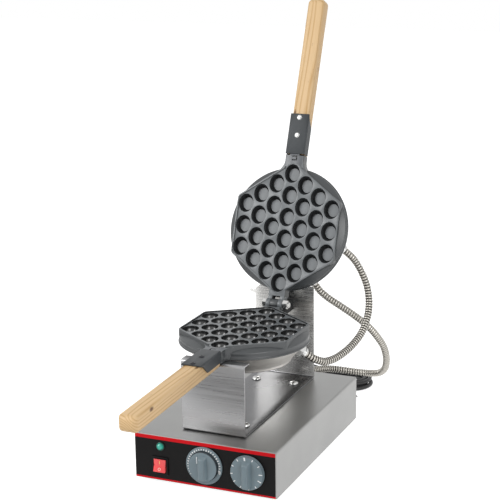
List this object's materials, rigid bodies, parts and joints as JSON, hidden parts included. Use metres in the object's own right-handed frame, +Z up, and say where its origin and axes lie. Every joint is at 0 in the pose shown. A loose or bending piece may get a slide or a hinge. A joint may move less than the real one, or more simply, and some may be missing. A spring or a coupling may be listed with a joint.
{
  "type": "bubble waffle maker",
  "caption": "Counter-top bubble waffle iron: hinged round cast moulds with wooden handles, on a steel base with dials and a switch.",
  "frame": {"origin": "on the table, under the middle of the machine from the front handle's tip to the back handle's tip, leads left out", "axes": "+Z up, -Y towards the front panel and the lower handle, +X to the user's right; the hinge pin runs along X"},
  "size_m": [0.254, 0.7718, 0.6679],
  "materials": {
    "stainless_steel": "bright brushed stainless sheet",
    "cover_steel": "bright satin spun stainless sheet",
    "bolt_steel": "bright plated steel",
    "hose_steel": "interlocked bright steel strip",
    "mould_iron": "dark grey non-stick coated casting",
    "sleeve_iron": "dark grey satin sheet",
    "heater_steel": "heat-darkened steel tube",
    "handle_wood": "pale softwood, thinly varnished",
    "foot_rubber": "black rubber",
    "cord_rubber": "black flexible rubber",
    "knob_plastic": "blue-grey moulded plastic",
    "spindle_brass": "turned brass",
    "black_plastic": "black moulded plastic",
    "terminal_plastic": "off-white moulded plastic",
    "panel_black": "black overlay with red lines",
    "lamp_green": "green faceted lens",
    "rocker_red": "translucent red plastic"
  },
  "bodies": {
    "base_and_lower_half": {"base_hose_gland": "bolt_steel", "base_shell": "stainless_steel", "block_bolt_1": "bolt_steel", "block_bolt_2": "bolt_steel", "bottom_plate": "stainless_steel", "cord_gland": "cord_rubber", "cord_hank": "cord_rubber", "front_panel": "panel_black", "hinge_bolt": "bolt_steel", "hinge_nut": "bolt_steel", "hose_between_moulds": "hose_steel", "hose_to_base": "hose_steel", "indicator_lamp": "lamp_green", "lower_cover": "cover_steel", "lower_cover_screw": "bolt_steel", "lower_handle": "handle_wood", "lower_heater": "heater_steel", "lower_hose_fitting": "bolt_steel", "lower_mould": "mould_iron", "lower_sleeve": "sleeve_iron", "lower_sleeve_screw_1": "bolt_steel", "lower_sleeve_screw_2": "bolt_steel", "power_cord": "cord_rubber", "power_plug": "cord_rubber", "rocker_frame": "black_plastic", "rubber_foot_1": "foot_rubber", "rubber_foot_2": "foot_rubber", "rubber_foot_3": "foot_rubber", "rubber_foot_4": "foot_rubber", "stand_bolt_1": "bolt_steel", "stand_bolt_2": "bolt_steel", "stand_bolt_3": "bolt_steel", "stand_bolt_4": "bolt_steel", "stand_bracket": "stainless_steel", "stand_nut_1": "bolt_steel", "stand_nut_2": "bolt_steel", "stand_nut_3": "bolt_steel", "stand_nut_4": "bolt_steel", "terminal_block": "terminal_plastic", "thermostat_body": "black_plastic", "timer_body": "black_plastic"},
    "upper_mould_half": {"upper_mould": "mould_iron", "upper_heater": "heater_steel", "upper_cover": "cover_steel", "upper_cover_screw": "bolt_steel", "upper_hose_fitting_1": "bolt_steel", "upper_hose_fitting_2": "bolt_steel", "upper_sleeve": "sleeve_iron", "upper_sleeve_screw_1": "bolt_steel", "upper_sleeve_screw_2": "bolt_steel", "upper_handle": "handle_wood"},
    "temperature_dial": {"temperature_knob": "knob_plastic", "thermostat_spindle": "spindle_brass"},
    "timer_dial": {"timer_knob": "knob_plastic", "timer_spindle": "spindle_brass"},
    "rocker_switch": {"rocker": "rocker_red"}
  },
  "joints": [
    {"name": "upper_mould_hinge", "type": "hinge", "parent": "base_and_lower_half", "child": "upper_mould_half", "pos_m": [0, 0.146, 0.2065], "axis": [1, 0, 0], "range_deg": [0, 111], "deforming": ["hose_between_moulds", "hose_to_base"]},
    {"name": "temperature_dial_turn", "type": "hinge", "parent": "base_and_lower_half", "child": "temperature_dial", "pos_m": [0.001, -0.1245, 0.041], "axis": [0, 1, 0], "range_deg": [0, 300]},
    {"name": "timer_dial_turn", "type": "hinge", "parent": "base_and_lower_half", "child": "timer_dial", "pos_m": [0.069, -0.1245, 0.041], "axis": [0, 1, 0], "range_deg": [0, 300]},
    {"name": "rocker_tilt", "type": "hinge", "parent": "base_and_lower_half", "child": "rocker_switch", "pos_m": [-0.07, -0.1261, 0.03], "axis": [1, 0, 0], "range_deg": [0, 18]}
  ]
}
